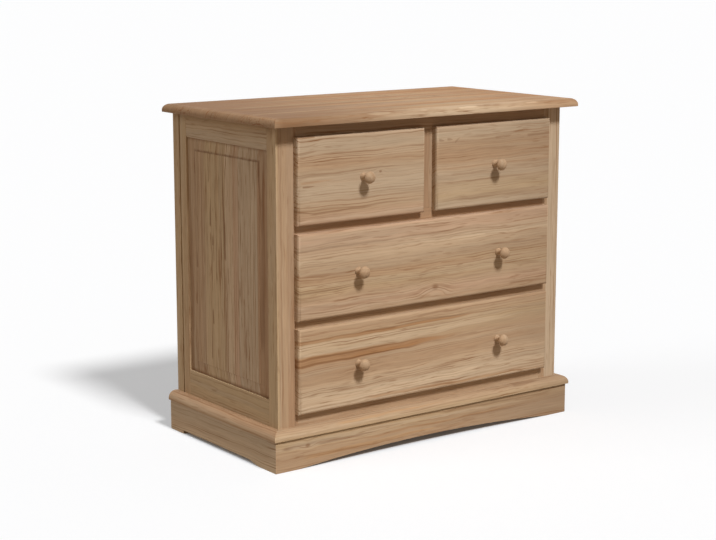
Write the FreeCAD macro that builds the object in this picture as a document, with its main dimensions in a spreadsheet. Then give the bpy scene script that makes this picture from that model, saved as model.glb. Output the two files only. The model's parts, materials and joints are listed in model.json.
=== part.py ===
import FreeCAD, Part
import os
import re

import Sketcher
from FreeCAD import Placement, Rotation, Vector

# Four-drawer pine chest: two small drawers over two wide ones, in a framed carcass on an arched plinth.
# Millimetres. +Z is up and the front faces -Y. The origin is on the floor under the middle of the chest.

DRIVING = {
    "chest_height": 892,
    "carcass_width": 942,
    "carcass_depth": 491.5,
    "top_thickness": 22,
    "top_side_overhang": 29,
    "top_front_overhang": 41,
    "top_back_overhang": 6.5,
    "top_edge_round": 17,
    "frame_thickness": 22,
    "post_depth": 40,
    "rear_stile_width": 36,
    "rear_post_width": 45,
    "rear_post_depth": 30,
    "joint_groove_width": 5,
    "joint_groove_depth": 6,
    "carcass_base": 60,
    "side_top_rail_height": 63,
    "side_bottom_rail_height": 116,
    "rail_bevel_height": 6,
    "rail_bevel_depth": 3,
    "panel_groove_inset": 6,
    "panel_groove_width": 6,
    "panel_groove_depth": 9,
    "panel_edge_gap": 1.5,
    "panel_end_margin": 32,
    "panel_side_margin": 41,
    "panel_field_inset": 1.5,
    "panel_field_step": 1.5,
    "tenon_inset": 7,
    "tenon_thickness": 8,
    "tenon_length": 20,
    "tenon_shoulder": 5,
    "glue_gap": 1,
    "plinth_board_height": 83,
    "plinth_thickness": 23,
    "plinth_back_overrun": 3,
    "arch_rise": 19,
    "arch_foot": 72,
    "side_cut_rise": 9,
    "side_cut_slope": 40,
    "side_front_foot": 83,
    "side_back_foot": 66,
    "moulding_height": 24,
    "moulding_projection": 29,
    "moulding_round": 20,
    "stile_reveal": 52,
    "divider_reveal": 38,
    "top_reveal": 29,
    "bottom_reveal": 31,
    "row_gap": 20,
    "wide_front_height": 221,
    "front_thickness": 20,
    "front_edge_round": 8,
    "front_overlap": 8,
    "box_board": 12,
    "box_housing": 7,
    "box_dado": 5,
    "box_side_clearance": 1.5,
    "box_top_clearance": 4,
    "box_rear_gap": 20,
    "box_back_setback": 10,
    "box_back_drop": 8,
    "bottom_thickness": 5,
    "bottom_groove": 6,
    "bottom_lift": 9,
    "runner_bearing": 16,
    "guide_height": 20,
    "back_thickness": 5,
    "back_rebate": 10,
    "back_panel_gap": 0.5,
    "back_rail_height": 60,
    "back_middle_rail_drop": 40,
    "back_screw_pitch": 320,
    "back_screw_radius": 1.75,
    "back_screw_length": 20,
    "screw_head_radius": 4,
    "screw_head_height": 2.5,
    "screw_clearance": 0.2,
    "wide_knob_pitch": 470,
    "knob_projection": 40,
    "knob_radius": 16,
    "knob_rim_height": 27,
    "knob_rim_depth": 3,
    "knob_rim_taper": 1.5,
    "knob_foot_radius": 10,
    "knob_foot_height": 2,
    "knob_waist_radius": 15,
    "knob_bore_depth": 22,
    "knob_screw_radius": 2,
    "knob_screw_grip": 20,
}

DERIVED = {
    "half_width": "carcass_width / 2",
    "side_inner": "half_width - frame_thickness",
    "face": "(knob_projection + front_thickness - carcass_depth - top_back_overhang) / 2",
    "rear": "face + carcass_depth",
    "under_top": "chest_height - top_thickness",
    "plinth_top": "plinth_board_height + moulding_height",
    "lower_low": "plinth_top + bottom_reveal",
    "lower_high": "lower_low + wide_front_height",
    "middle_low": "lower_high + row_gap",
    "middle_high": "middle_low + wide_front_height",
    "upper_low": "middle_high + row_gap",
    "upper_high": "under_top - top_reveal",
    "front_half": "half_width - stile_reveal",
    "opening_half": "front_half - front_overlap",
    "divider_half": "divider_reveal / 2 + front_overlap",
    "rail_height": "row_gap + 2 * front_overlap",
    "post_back": "face + post_depth",
    "rear_post_front": "rear - rear_post_depth",
    "rear_post_inner": "half_width - rear_post_width",
    "stile_front": "rear_post_front - rear_stile_width",
    "panel_low": "carcass_base + side_bottom_rail_height",
    "panel_high": "under_top - side_top_rail_height",
    "back_inner": "rear - back_thickness - frame_thickness",
    "box_rear": "back_inner - box_rear_gap",
    "arch_half": "half_width + plinth_thickness - arch_foot",
    "arch_radius": "(arch_half ^ 2 + arch_rise ^ 2) / (2 * arch_rise)",
    "knob_dome": "knob_projection - knob_rim_height",
    "knob_dome_radius": "(knob_radius ^ 2 + knob_dome ^ 2) / (2 * knob_dome)",
}

NAME = re.compile(r"[a-z]+(?:_[a-z]+)*")
TO_FRONT = Rotation(Vector(1, 0, 0), 90)
QUARTER_TURN = Rotation(Vector(0, 0, 1), 90)

doc = FreeCAD.newDocument("PineChest")
sheet = doc.addObject("Spreadsheet::Sheet", "Sizes")
cells = {name: str(size) for name, size in DRIVING.items()}
cells.update({name: "=" + rule for name, rule in DERIVED.items()})
for row, (name, text) in enumerate(cells.items(), start=1):
    sheet.set(f"A{row}", name)
    sheet.set(f"B{row}", text)
    sheet.setAlias(f"B{row}", name)
doc.recompute()

nodes = []


def formula(rule):
    """A rule over the sheet's names, as the document's expressions read it."""
    def named(word):
        return f"Sizes.{word.group()}" if word.group() in cells else word.group()
    return NAME.sub(named, str(rule))


def value(rule):
    return float(sheet.evalExpression(formula(rule)))


def bind(thing, **rules):
    for size, rule in rules.items():
        thing.setExpression(size, formula(rule))


def place(thing, at):
    for axis, rule in zip("xyz", at):
        thing.setExpression(f"Placement.Base.{axis}", formula(rule))


def span(thing, across, along, up):
    """Size and place a box by its two limits on each axis."""
    for size, axis, (low, high) in zip(("Length", "Width", "Height"), "xyz", (across, along, up)):
        thing.setExpression(size, formula(f"({high}) - ({low})"))
        thing.setExpression(f"Placement.Base.{axis}", formula(low))
    return thing


def block(name, across, along, up):
    return span(doc.addObject("Part::Box", name), across, along, up)


def joined(name, pieces):
    whole = doc.addObject("Part::MultiFuse", name)
    whole.Shapes = pieces
    return whole


def group(name, pieces):
    """Separate solids that share one node."""
    together = doc.addObject("Part::Compound", name)
    together.Links = pieces
    return together


def cut(name, base, tools):
    remainder = doc.addObject("Part::Cut", name)
    remainder.Base = base
    remainder.Tool = tools[0] if len(tools) == 1 else joined(name + "_cuts", tools)
    return remainder


def rod(name, radius, length, at):
    """A round bar from a point towards the front."""
    bar = doc.addObject("Part::Cylinder", name)
    bar.Placement = Placement(Vector(), TO_FRONT)
    bind(bar, Radius=radius, Height=length)
    place(bar, at)
    return bar


def keep(*pieces):
    for piece in pieces:
        piece.Label = piece.Name
        nodes.append(piece)


def keep_pair(left):
    """A left-hand piece and its mirror image on the right."""
    right = doc.addObject("Part::Mirroring", left.Name.replace("left", "right", 1))
    right.Source = left
    right.Normal = Vector(1, 0, 0)
    keep(left, right)


def new_body(name):
    return doc.addObject("PartDesign::Body", name)


def new_sketch(body, role, name):
    plane = next(part for part in body.Origin.OriginFeatures if part.Role == role)
    sketch = body.newObject("Sketcher::SketchObject", name)
    sketch.AttachmentSupport = [(plane, "")]
    sketch.MapMode = "FlatFace"
    return sketch


def arc_through(start, end, radius, side):
    """The short arc between two points, bulging to the left (side 1) or right (side -1) of the way."""
    chord = end - start
    rise = radius - (radius ** 2 - (chord.Length / 2) ** 2) ** 0.5
    across = Vector(-chord.y, chord.x, 0).normalize()
    return Part.Arc(start, (start + end) / 2 + across * (rise * side), end)


def outline(sketch, corners):
    """A closed loop; a corner is (x, y), or (x, y, radius, side) where an arc leaves it."""
    points = [Vector(value(corner[0]), value(corner[1]), 0) for corner in corners]
    first = sketch.GeometryCount
    starts = []
    ends = []
    for index, corner in enumerate(corners):
        start = points[index]
        end = points[(index + 1) % len(points)]
        if len(corner) > 2:
            edge = sketch.addGeometry(arc_through(start, end, value(corner[2]), corner[3]))
            radius = sketch.addConstraint(Sketcher.Constraint("Radius", edge, value(corner[2])))
            sketch.setExpression(f"Constraints[{radius}]", formula(corner[2]))
        else:
            edge = sketch.addGeometry(Part.LineSegment(start, end))
        drawn_from = sketch.getPoint(edge, 1)
        forward = drawn_from.distanceToPoint(start) < drawn_from.distanceToPoint(end)
        starts.append(1 if forward else 2)
        ends.append(2 if forward else 1)
    for index, corner in enumerate(corners):
        edge = first + index
        before = (index - 1) % len(corners)
        start = starts[index]
        sketch.addConstraint(Sketcher.Constraint("Coincident", first + before, ends[before], edge, start))
        for kind, rule, place_now in zip(("DistanceX", "DistanceY"), corner, points[index]):
            held = sketch.addConstraint(Sketcher.Constraint(kind, edge, start, place_now))
            sketch.setExpression(f"Constraints[{held}]", formula(rule))


def pad(body, sketch, length):
    feature = body.newObject("PartDesign::Pad", body.Name + "_pad")
    feature.Profile = sketch
    bind(feature, Length=length)
    sketch.Visibility = False


def pocket(body, sketch, along_normal=True):
    """Cut right through the wood, which lies on one side of the sketch's plane."""
    feature = body.newObject("PartDesign::Pocket", sketch.Name + "_pocket")
    feature.Profile = sketch
    feature.Type = "ThroughAll"
    feature.Reversed = along_normal
    sketch.Visibility = False
    doc.recompute()
    if feature.Shape.Volume >= feature.BaseFeature.Shape.Volume:
        raise RuntimeError(f"{feature.Name} cuts nothing")


def round_edges(body, blank, axis, limit, radius):
    """Round the edges of the blank's face that lies at its lowest or highest place on an axis."""
    doc.recompute()
    at = getattr(blank.Shape.BoundBox, axis + limit)
    coordinate = axis.lower()
    edges = []
    for index, edge in enumerate(blank.Shape.Edges, start=1):
        if all(abs(getattr(vertex.Point, coordinate) - at) < 1e-6 for vertex in edge.Vertexes):
            edges.append(f"Edge{index}")
    rounded = body.newObject("PartDesign::Fillet", body.Name + "_round")
    rounded.Base = (blank, edges)
    bind(rounded, Radius=radius)


def make_top():
    body = new_body("top_board")
    blank = body.newObject("PartDesign::AdditiveBox", "top_blank")
    span(blank,
         ("-half_width - top_side_overhang", "half_width + top_side_overhang"),
         ("face - top_front_overhang", "rear + top_back_overhang"),
         ("under_top", "chest_height"))
    round_edges(body, blank, "Z", "Max", "top_edge_round")
    keep(body)


UPPER_OPENING = ("upper_low + front_overlap", "upper_high - front_overlap")
MIDDLE_OPENING = ("middle_low + front_overlap", "middle_high - front_overlap")
LOWER_OPENING = ("lower_low + front_overlap", "lower_high - front_overlap")
OPENINGS = {"upper": UPPER_OPENING, "middle": MIDDLE_OPENING, "lower": LOWER_OPENING}
FRONT_RAILS = {
    "top": (UPPER_OPENING[1], "under_top"),
    "upper": (MIDDLE_OPENING[1], UPPER_OPENING[0]),
    "lower": (LOWER_OPENING[1], MIDDLE_OPENING[0]),
    "bottom": ("carcass_base", LOWER_OPENING[0]),
}
FRAME_FRONT = ("face", "face + frame_thickness")
FRAME_TENON = ("face + tenon_inset", "face + tenon_inset + tenon_thickness")
SIDE_WOOD = ("-half_width", "-side_inner")
SIDE_TENON = ("-half_width + panel_groove_inset", "-half_width + panel_groove_inset + panel_groove_width")
SIDE_RAILS = {
    "top": ("panel_high", "under_top"),
    "bottom": ("carcass_base", "panel_low"),
}
SIDE_TENONS = {
    "top": ("panel_high + panel_groove_depth", "under_top - tenon_shoulder"),
    "bottom": ("carcass_base + tenon_shoulder", "panel_low - panel_groove_depth"),
}
BACK_RAILS = {
    "top": ("under_top - back_rail_height", "under_top"),
    "middle": (f"{UPPER_OPENING[0]} - back_middle_rail_drop",
               f"{UPPER_OPENING[0]} - back_middle_rail_drop + back_rail_height"),
    "bottom": ("carcass_base", "carcass_base + back_rail_height"),
}
BACK_WOOD = ("back_inner", "back_inner + frame_thickness")
BACK_TENON = ("back_inner + tenon_inset", "back_inner + tenon_inset + tenon_thickness")
BACK_SCREW_COLUMNS = ("-back_screw_pitch", "0", "back_screw_pitch")


def shouldered(limits):
    """The height of a tenon inside the height of its rail."""
    return f"{limits[0]} + tenon_shoulder", f"{limits[1]} - tenon_shoulder"


def middle_of(limits):
    return f"(({limits[0]}) + ({limits[1]})) / 2"


def make_front_posts():
    post = block("left_front_post_blank", ("-half_width", "-opening_half"), ("face", "post_back"),
                 ("0", "under_top"))
    cuts = []
    for rail, limits in FRONT_RAILS.items():
        cuts.append(block(f"left_front_post_{rail}_mortise",
                          ("-opening_half - tenon_length - glue_gap", "-opening_half"),
                          FRAME_TENON, shouldered(limits)))
    for rail, limits in SIDE_TENONS.items():
        cuts.append(block(f"left_front_post_side_{rail}_mortise", SIDE_TENON,
                          ("post_back - tenon_length - glue_gap", "post_back"), limits))
    cuts.append(block("left_front_post_groove", SIDE_TENON, ("post_back - panel_groove_depth", "post_back"),
                      ("panel_low - panel_groove_depth", "panel_high + panel_groove_depth")))
    keep_pair(cut("left_front_post", post, cuts))


def make_rail_bevel():
    """What the shallow bevel along the lower edge of a side's top rail takes away."""
    bevel = doc.addObject("Part::Wedge", "left_rail_bevel")
    bevel.Placement = Placement(Vector(), QUARTER_TURN)
    bind(bevel,
         Ymin="half_width - rail_bevel_depth", Ymax="half_width",
         Xmin="post_back", Xmax="stile_front", Zmin="panel_low", Zmax="panel_high",
         X2min="post_back", X2max="stile_front", Z2min="panel_low", Z2max="panel_high + rail_bevel_height")
    return bevel


def make_side_rails():
    grooves = {
        "top": ("panel_high", "panel_high + panel_groove_depth"),
        "bottom": ("panel_low - panel_groove_depth", "panel_low"),
    }
    for rail, limits in SIDE_RAILS.items():
        name = f"left_side_{rail}_rail"
        blank = block(name + "_blank", SIDE_WOOD, ("post_back", "stile_front"), limits)
        tenons = block(name + "_tenons", SIDE_TENON,
                       ("post_back - tenon_length", "stile_front + tenon_length"), SIDE_TENONS[rail])
        cuts = [block(name + "_groove", SIDE_TENON, ("post_back", "stile_front"), grooves[rail])]
        if rail == "top":
            cuts.append(make_rail_bevel())
        keep_pair(cut(name, joined(name + "_wood", [blank, tenons]), cuts))


def make_side_panel():
    """A raised and fielded panel: a tongue in the frame's groove, a bevelled margin and a flat field."""
    tongue = block("left_side_panel_tongue", SIDE_TENON,
                   ("post_back - panel_groove_depth + panel_edge_gap",
                    "stile_front + panel_groove_depth - panel_edge_gap"),
                   ("panel_low - panel_groove_depth + panel_edge_gap",
                    "panel_high + panel_groove_depth - panel_edge_gap"))
    field = block("left_side_panel_field",
                  ("-half_width + panel_field_inset", SIDE_TENON[1]),
                  ("post_back + panel_side_margin", "stile_front - panel_side_margin"),
                  ("panel_low + panel_end_margin", "panel_high - panel_end_margin"))
    margin = doc.addObject("Part::Wedge", "left_side_panel_margin")
    margin.Placement = Placement(Vector(), QUARTER_TURN)
    bind(margin,
         Ymin="half_width - panel_groove_inset", Ymax="half_width - panel_field_inset - panel_field_step",
         Xmin="post_back", Xmax="stile_front", Zmin="panel_low", Zmax="panel_high",
         X2min="post_back + panel_side_margin", X2max="stile_front - panel_side_margin",
         Z2min="panel_low + panel_end_margin", Z2max="panel_high - panel_end_margin")
    keep_pair(joined("left_side_panel", [tongue, margin, field]))


def make_rear_corners():
    """The rear stile and the rear post, with a narrow groove along the joint between them."""
    groove = block("left_joint_groove", ("-half_width", "-half_width + joint_groove_depth"),
                   ("rear_post_front - joint_groove_width", "rear_post_front"), ("carcass_base", "under_top"))
    stile = block("left_rear_stile_blank", SIDE_WOOD, ("stile_front", "rear_post_front"),
                  ("carcass_base", "under_top"))
    cuts = [groove]
    for rail, limits in SIDE_TENONS.items():
        cuts.append(block(f"left_rear_stile_{rail}_mortise", SIDE_TENON,
                          ("stile_front", "stile_front + tenon_length + glue_gap"), limits))
    cuts.append(block("left_rear_stile_groove", SIDE_TENON,
                      ("stile_front", "stile_front + panel_groove_depth"),
                      ("panel_low - panel_groove_depth", "panel_high + panel_groove_depth")))
    keep_pair(cut("left_rear_stile", stile, cuts))
    post = block("left_rear_post_blank", ("-half_width", "-rear_post_inner"), ("rear_post_front", "rear"),
                 ("0", "under_top"))
    cuts = [block("left_rear_post_rebate", ("-rear_post_inner - back_rebate", "-rear_post_inner"),
                  ("rear - back_thickness", "rear"), ("carcass_base", "under_top"))]
    for rail, limits in BACK_RAILS.items():
        cuts.append(block(f"left_rear_post_{rail}_mortise",
                          ("-rear_post_inner - tenon_length - glue_gap", "-rear_post_inner"),
                          BACK_TENON, shouldered(limits)))
    keep_pair(cut("left_rear_post", post, cuts))


def make_front_frame():
    divider_mortises = {
        "top": (FRONT_RAILS["top"][0], f"{FRONT_RAILS['top'][0]} + tenon_length + glue_gap"),
        "upper": (f"{FRONT_RAILS['upper'][1]} - tenon_length - glue_gap", FRONT_RAILS["upper"][1]),
    }
    divider_tenon = ("-divider_half + tenon_shoulder", "divider_half - tenon_shoulder")
    for rail, limits in FRONT_RAILS.items():
        name = f"front_{rail}_rail"
        wood = [block(name + "_blank", ("-opening_half", "opening_half"), FRAME_FRONT, limits),
                block(name + "_tenons", ("-opening_half - tenon_length", "opening_half + tenon_length"),
                      FRAME_TENON, shouldered(limits))]
        if rail in divider_mortises:
            mortise = block(name + "_mortise", divider_tenon, FRAME_TENON, divider_mortises[rail])
            keep(cut(name, joined(name + "_wood", wood), [mortise]))
        else:
            keep(joined(name, wood))
    keep(joined("front_divider", [
        block("front_divider_blank", ("-divider_half", "divider_half"), FRAME_FRONT, UPPER_OPENING),
        block("front_divider_tenons", divider_tenon, FRAME_TENON,
              (f"{UPPER_OPENING[0]} - tenon_length", f"{UPPER_OPENING[1]} + tenon_length"))]))


def back_screw_places():
    for rail, limits in BACK_RAILS.items():
        for column, across in enumerate(BACK_SCREW_COLUMNS):
            yield f"{rail}_{column}", across, middle_of(limits)


def make_back():
    wood = []
    for rail, limits in BACK_RAILS.items():
        wood.append(joined(f"back_{rail}_rail", [
            block(f"back_{rail}_rail_blank", ("-rear_post_inner", "rear_post_inner"), BACK_WOOD, limits),
            block(f"back_{rail}_rail_tenons",
                  ("-rear_post_inner - tenon_length", "rear_post_inner + tenon_length"),
                  BACK_TENON, shouldered(limits))]))
    holes = []
    screws = []
    for label, across, up in back_screw_places():
        holes.append(rod(f"back_hole_{label}", "back_screw_radius + screw_clearance",
                         "back_screw_length + glue_gap", (across, "rear", up)))
        head_top = (across, "rear + screw_head_height", up)
        screws.append(joined(f"back_screw_{label}", [
            rod(f"back_screw_shank_{label}", "back_screw_radius", "screw_head_height + back_screw_length",
                head_top),
            rod(f"back_screw_head_{label}", "screw_head_radius", "screw_head_height", head_top)]))
    panel = block("back_panel_blank",
                  ("-rear_post_inner - back_rebate + back_panel_gap",
                   "rear_post_inner + back_rebate - back_panel_gap"),
                  ("rear - back_thickness", "rear"), ("carcass_base", "under_top"))
    drilled = joined("back_holes", holes)
    keep(cut("back_rails", group("back_rails_wood", wood), [drilled]))
    keep(cut("back_panel", panel, [drilled]))
    keep(group("back_screws", screws))


def make_plinth():
    front = new_body("plinth_front")
    plan = new_sketch(front, "XY_Plane", "plinth_front_plan")
    outline(plan, [("-half_width - plinth_thickness", "face - plinth_thickness"),
                   ("half_width + plinth_thickness", "face - plinth_thickness"),
                   ("half_width", "face"), ("-half_width", "face")])
    pad(front, plan, "plinth_board_height")
    arch = new_sketch(front, "XZ_Plane", "plinth_front_arch")
    outline(arch, [("-arch_half", "0", "arch_radius", 1), ("arch_half", "0"),
                   ("arch_half", "-arch_rise"), ("-arch_half", "-arch_rise")])
    pocket(front, arch)
    keep(front)
    side = new_body("plinth_left")
    plan = new_sketch(side, "XY_Plane", "plinth_left_plan")
    outline(plan, [("-half_width - plinth_thickness", "face - plinth_thickness"), ("-half_width", "face"),
                   ("-half_width", "rear + plinth_back_overrun"),
                   ("-half_width - plinth_thickness", "rear + plinth_back_overrun")])
    pad(side, plan, "plinth_board_height")
    low_cut = new_sketch(side, "YZ_Plane", "plinth_left_cut")
    foot_end = "face - plinth_thickness + side_front_foot"
    foot_start = "rear + plinth_back_overrun - side_back_foot"
    outline(low_cut, [(foot_end, "0"), (f"{foot_end} + side_cut_slope", "side_cut_rise"),
                      (foot_start, "side_cut_rise"), (foot_start, "-side_cut_rise"),
                      (foot_end, "-side_cut_rise")])
    pocket(side, low_cut, along_normal=False)
    keep_pair(side)


def make_mouldings():
    """A quarter-round nosing over the plinth boards, mitred at the front corners."""
    front = new_body("moulding_front")
    section = new_sketch(front, "YZ_Plane", "moulding_front_section")
    outline(section, [("face", "plinth_board_height"), ("face - moulding_projection", "plinth_board_height"),
                      ("face - moulding_projection", "plinth_top - moulding_round", "moulding_round", 1),
                      ("face - moulding_projection + moulding_round", "plinth_top"), ("face", "plinth_top")])
    section.setExpression("AttachmentOffset.Base.z", formula("-half_width - moulding_projection"))
    pad(front, section, "2 * (half_width + moulding_projection)")
    mitres = new_sketch(front, "XY_Plane", "moulding_front_mitres")
    for side in ("-1", "1"):
        outline(mitres, [(f"{side} * half_width", "face"),
                         (f"{side} * (half_width + moulding_projection)", "face - moulding_projection"),
                         (f"{side} * (half_width + moulding_projection)", "face")])
    pocket(front, mitres)
    keep(front)
    side = new_body("moulding_left")
    section = new_sketch(side, "XZ_Plane", "moulding_left_section")
    nose = "-half_width - moulding_projection"
    outline(section, [("-half_width", "plinth_board_height"), ("-half_width", "plinth_top"),
                      (f"{nose} + moulding_round", "plinth_top", "moulding_round", -1),
                      (nose, "plinth_top - moulding_round"), (nose, "plinth_board_height")])
    section.setExpression("AttachmentOffset.Base.z", formula("-rear - plinth_back_overrun"))
    pad(side, section, "carcass_depth + plinth_back_overrun + moulding_projection")
    mitre = new_sketch(side, "XY_Plane", "moulding_left_mitre")
    outline(mitre, [("-half_width", "face"), ("-half_width", "face - moulding_projection"),
                    ("-half_width - moulding_projection", "face - moulding_projection")])
    pocket(side, mitre)
    keep_pair(side)


def make_runners():
    """Under each drawer side a runner as high as the rail in front of it, with a guide on top of it."""
    along = ("post_back", "rear_post_front")
    wood = []
    for row, (low, high) in OPENINGS.items():
        wood.append(block(f"left_{row}_runner", ("-side_inner", "-opening_half + runner_bearing"), along,
                          (f"{low} - rail_height", low)))
        wood.append(block(f"left_{row}_guide", ("-side_inner", "-opening_half"), along,
                          (low, f"{low} + guide_height")))
    keep_pair(group("left_runners", wood))
    middle = ("face + frame_thickness", "back_inner")
    bearer = ("-divider_half - runner_bearing", "divider_half + runner_bearing")
    low, high = UPPER_OPENING
    keep(group("centre_runner", [
        block("centre_runner_bearer", bearer, middle, (f"{low} - rail_height", low)),
        block("centre_runner_guide", ("-divider_half", "divider_half"), middle,
              (low, f"{low} + guide_height"))]))
    cleat = (high, "under_top")
    keep(group("top_cleats", [
        block("left_top_cleat", ("-side_inner", "-opening_half + runner_bearing"), along, cleat),
        block("middle_top_cleat", bearer, middle, cleat),
        block("right_top_cleat", ("opening_half - runner_bearing", "side_inner"), along, cleat)]))


def make_knob(name, across, up):
    """A turned mushroom knob: foot, hollow waist, rim and domed head, bored for its screw."""
    knob = new_body(name)
    knob.Placement = Placement(Vector(), TO_FRONT)
    place(knob, (across, "face - front_thickness", up))
    section = new_sketch(knob, "XZ_Plane", name + "_section")
    bore = "knob_screw_radius + screw_clearance"
    outline(section, [(bore, "0"), ("knob_foot_radius", "0"),
                      ("knob_foot_radius", "knob_foot_height", "knob_waist_radius", 1),
                      ("knob_radius - knob_rim_taper", "knob_rim_height - knob_rim_depth"),
                      ("knob_radius", "knob_rim_height", "knob_dome_radius", -1),
                      ("0", "knob_projection"), ("0", "knob_bore_depth"), (bore, "knob_bore_depth")])
    turned = knob.newObject("PartDesign::Revolution", name + "_turned")
    turned.Profile = section
    turned.ReferenceAxis = (section, ["V_Axis"])
    turned.Angle = 360
    section.Visibility = False
    return knob


def make_knob_screw(name, across, up):
    head_top = (across, "face + screw_head_height", up)
    return joined(name, [
        rod(name + "_head", "screw_head_radius", "screw_head_height", head_top),
        rod(name + "_shank", "knob_screw_radius", "screw_head_height + front_thickness + knob_screw_grip",
            head_top)])


def make_drawer_front(name, edges, box, knob_columns):
    """The overlapping front board, rounded in front, with housings for the box behind it."""
    left, right, low, high = edges
    body = new_body(name)
    blank = body.newObject("PartDesign::AdditiveBox", name + "_blank")
    span(blank, (left, right), ("face - front_thickness", "face"), (low, high))
    round_edges(body, blank, "Y", "Min", "front_edge_round")
    for hand in ("left", "right"):
        housing = body.newObject("PartDesign::SubtractiveBox", f"{name}_{hand}_housing")
        span(housing, box[hand], ("face - box_housing", "face"), box["side_height"])
    groove = body.newObject("PartDesign::SubtractiveBox", name + "_groove")
    span(groove, (box["left"][1], box["right"][0]), ("face - bottom_groove", "face"), box["bottom_height"])
    for column, across in enumerate(knob_columns):
        hole = body.newObject("PartDesign::SubtractiveCylinder", f"{name}_hole_{column}")
        hole.Placement = Placement(Vector(), TO_FRONT)
        bind(hole, Radius="knob_screw_radius + screw_clearance", Height="front_thickness")
        place(hole, (across, "face", middle_of((low, high))))
    return body


def make_drawer(name, edges, opening, knob_columns):
    """One drawer: front, two sides, back, bottom, knobs and their screws; edges are the front's limits."""
    left, right, low, high = edges
    outer_left = f"{left} + front_overlap + box_side_clearance"
    outer_right = f"{right} - front_overlap - box_side_clearance"
    side_height = (opening[0], f"{opening[1]} - box_top_clearance")
    floor = f"{opening[0]} + bottom_lift"
    box = {
        "left": (outer_left, f"{outer_left} + box_board"),
        "right": (f"{outer_right} - box_board", outer_right),
        "side_height": side_height,
        "bottom_height": (floor, f"{floor} + bottom_thickness"),
    }
    grooves = {
        "left": (f"{box['left'][1]} - bottom_groove", box["left"][1]),
        "right": (box["right"][0], f"{box['right'][0]} + bottom_groove"),
    }
    dados = {
        "left": (f"{box['left'][1]} - box_dado", box["left"][1]),
        "right": (box["right"][0], f"{box['right'][0]} + box_dado"),
    }
    along = ("face - box_housing", "box_rear")
    back_along = ("box_rear - box_back_setback - box_board", "box_rear - box_back_setback")
    back_height = (box["bottom_height"][1], f"{side_height[1]} - box_back_drop")
    pieces = [make_drawer_front(name + "_front", edges, box, knob_columns)]
    for hand in ("left", "right"):
        side = f"{name}_{hand}_side"
        pieces.append(cut(side, block(side + "_blank", box[hand], along, side_height), [
            block(side + "_groove", grooves[hand], along, box["bottom_height"]),
            block(side + "_dado", dados[hand], back_along, back_height)]))
    pieces.append(block(name + "_back", (dados["left"][0], dados["right"][1]), back_along, back_height))
    pieces.append(block(name + "_bottom", (grooves["left"][0], grooves["right"][1]),
                        ("face - bottom_groove", "box_rear"), box["bottom_height"]))
    up = middle_of((low, high))
    if len(knob_columns) == 1:
        pieces.append(make_knob(name + "_knob", knob_columns[0], up))
        pieces.append(make_knob_screw(name + "_knob_screw", knob_columns[0], up))
    else:
        knobs = []
        screws = []
        for column, across in enumerate(knob_columns):
            knobs.append(make_knob(f"{name}_knob_{column}", across, up))
            screws.append(make_knob_screw(f"{name}_screw_{column}", across, up))
        pieces.append(group(name + "_knobs", knobs))
        pieces.append(group(name + "_knob_screws", screws))
    keep(*pieces)


def make_drawers():
    small = "divider_reveal / 2"
    make_drawer("upper_left_drawer", ("-front_half", f"-{small}", "upper_low", "upper_high"),
                UPPER_OPENING, [f"-(front_half + {small}) / 2"])
    make_drawer("upper_right_drawer", (small, "front_half", "upper_low", "upper_high"),
                UPPER_OPENING, [f"(front_half + {small}) / 2"])
    wide_knobs = ["-wide_knob_pitch / 2", "wide_knob_pitch / 2"]
    make_drawer("middle_drawer", ("-front_half", "front_half", "middle_low", "middle_high"),
                MIDDLE_OPENING, wide_knobs)
    make_drawer("lower_drawer", ("-front_half", "front_half", "lower_low", "lower_high"),
                LOWER_OPENING, wide_knobs)


def check_and_write():
    doc.recompute()
    failed = [item.Name for item in doc.Objects if "Invalid" in item.State or "Error" in item.State]
    failed += [node.Label for node in nodes if node.Shape.isNull() or not node.Shape.isValid()]
    if failed:
        raise RuntimeError("failed: " + ", ".join(failed))
    os.makedirs("parts", exist_ok=True)
    for node in nodes:
        node.Shape.exportStep(f"parts/{node.Label}.step")
    print(len(nodes), "nodes written")


make_top()
make_front_posts()
make_side_rails()
make_side_panel()
make_rear_corners()
make_front_frame()
make_back()
make_plinth()
make_mouldings()
make_runners()
make_drawers()
check_and_write()
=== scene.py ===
import json
import math
import random
from collections import namedtuple
from typing import NamedTuple

import bmesh
import bpy
from mathutils import Euler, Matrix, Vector

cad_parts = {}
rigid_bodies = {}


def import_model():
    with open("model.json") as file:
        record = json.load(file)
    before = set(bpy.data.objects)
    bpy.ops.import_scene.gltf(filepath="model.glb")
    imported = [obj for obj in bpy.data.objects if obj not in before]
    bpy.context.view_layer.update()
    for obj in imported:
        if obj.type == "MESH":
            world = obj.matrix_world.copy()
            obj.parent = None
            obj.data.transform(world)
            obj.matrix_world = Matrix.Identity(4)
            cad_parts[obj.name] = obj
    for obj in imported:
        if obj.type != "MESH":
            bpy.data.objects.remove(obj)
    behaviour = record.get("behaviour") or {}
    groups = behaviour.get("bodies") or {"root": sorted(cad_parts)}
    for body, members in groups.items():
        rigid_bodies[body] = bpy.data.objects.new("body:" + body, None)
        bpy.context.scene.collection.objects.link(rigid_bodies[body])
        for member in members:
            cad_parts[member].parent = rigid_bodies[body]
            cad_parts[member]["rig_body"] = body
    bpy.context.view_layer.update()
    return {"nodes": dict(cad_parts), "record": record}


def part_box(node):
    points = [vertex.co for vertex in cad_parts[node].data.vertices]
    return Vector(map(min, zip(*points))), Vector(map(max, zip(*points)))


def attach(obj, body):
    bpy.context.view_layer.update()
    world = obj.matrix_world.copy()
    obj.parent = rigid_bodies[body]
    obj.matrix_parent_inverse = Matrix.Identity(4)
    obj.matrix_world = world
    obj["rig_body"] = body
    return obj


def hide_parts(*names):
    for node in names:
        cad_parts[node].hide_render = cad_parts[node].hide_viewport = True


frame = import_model()
SLOTS = {part["node"]: part["material_slot"] for part in frame["record"]["subparts"]}
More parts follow.
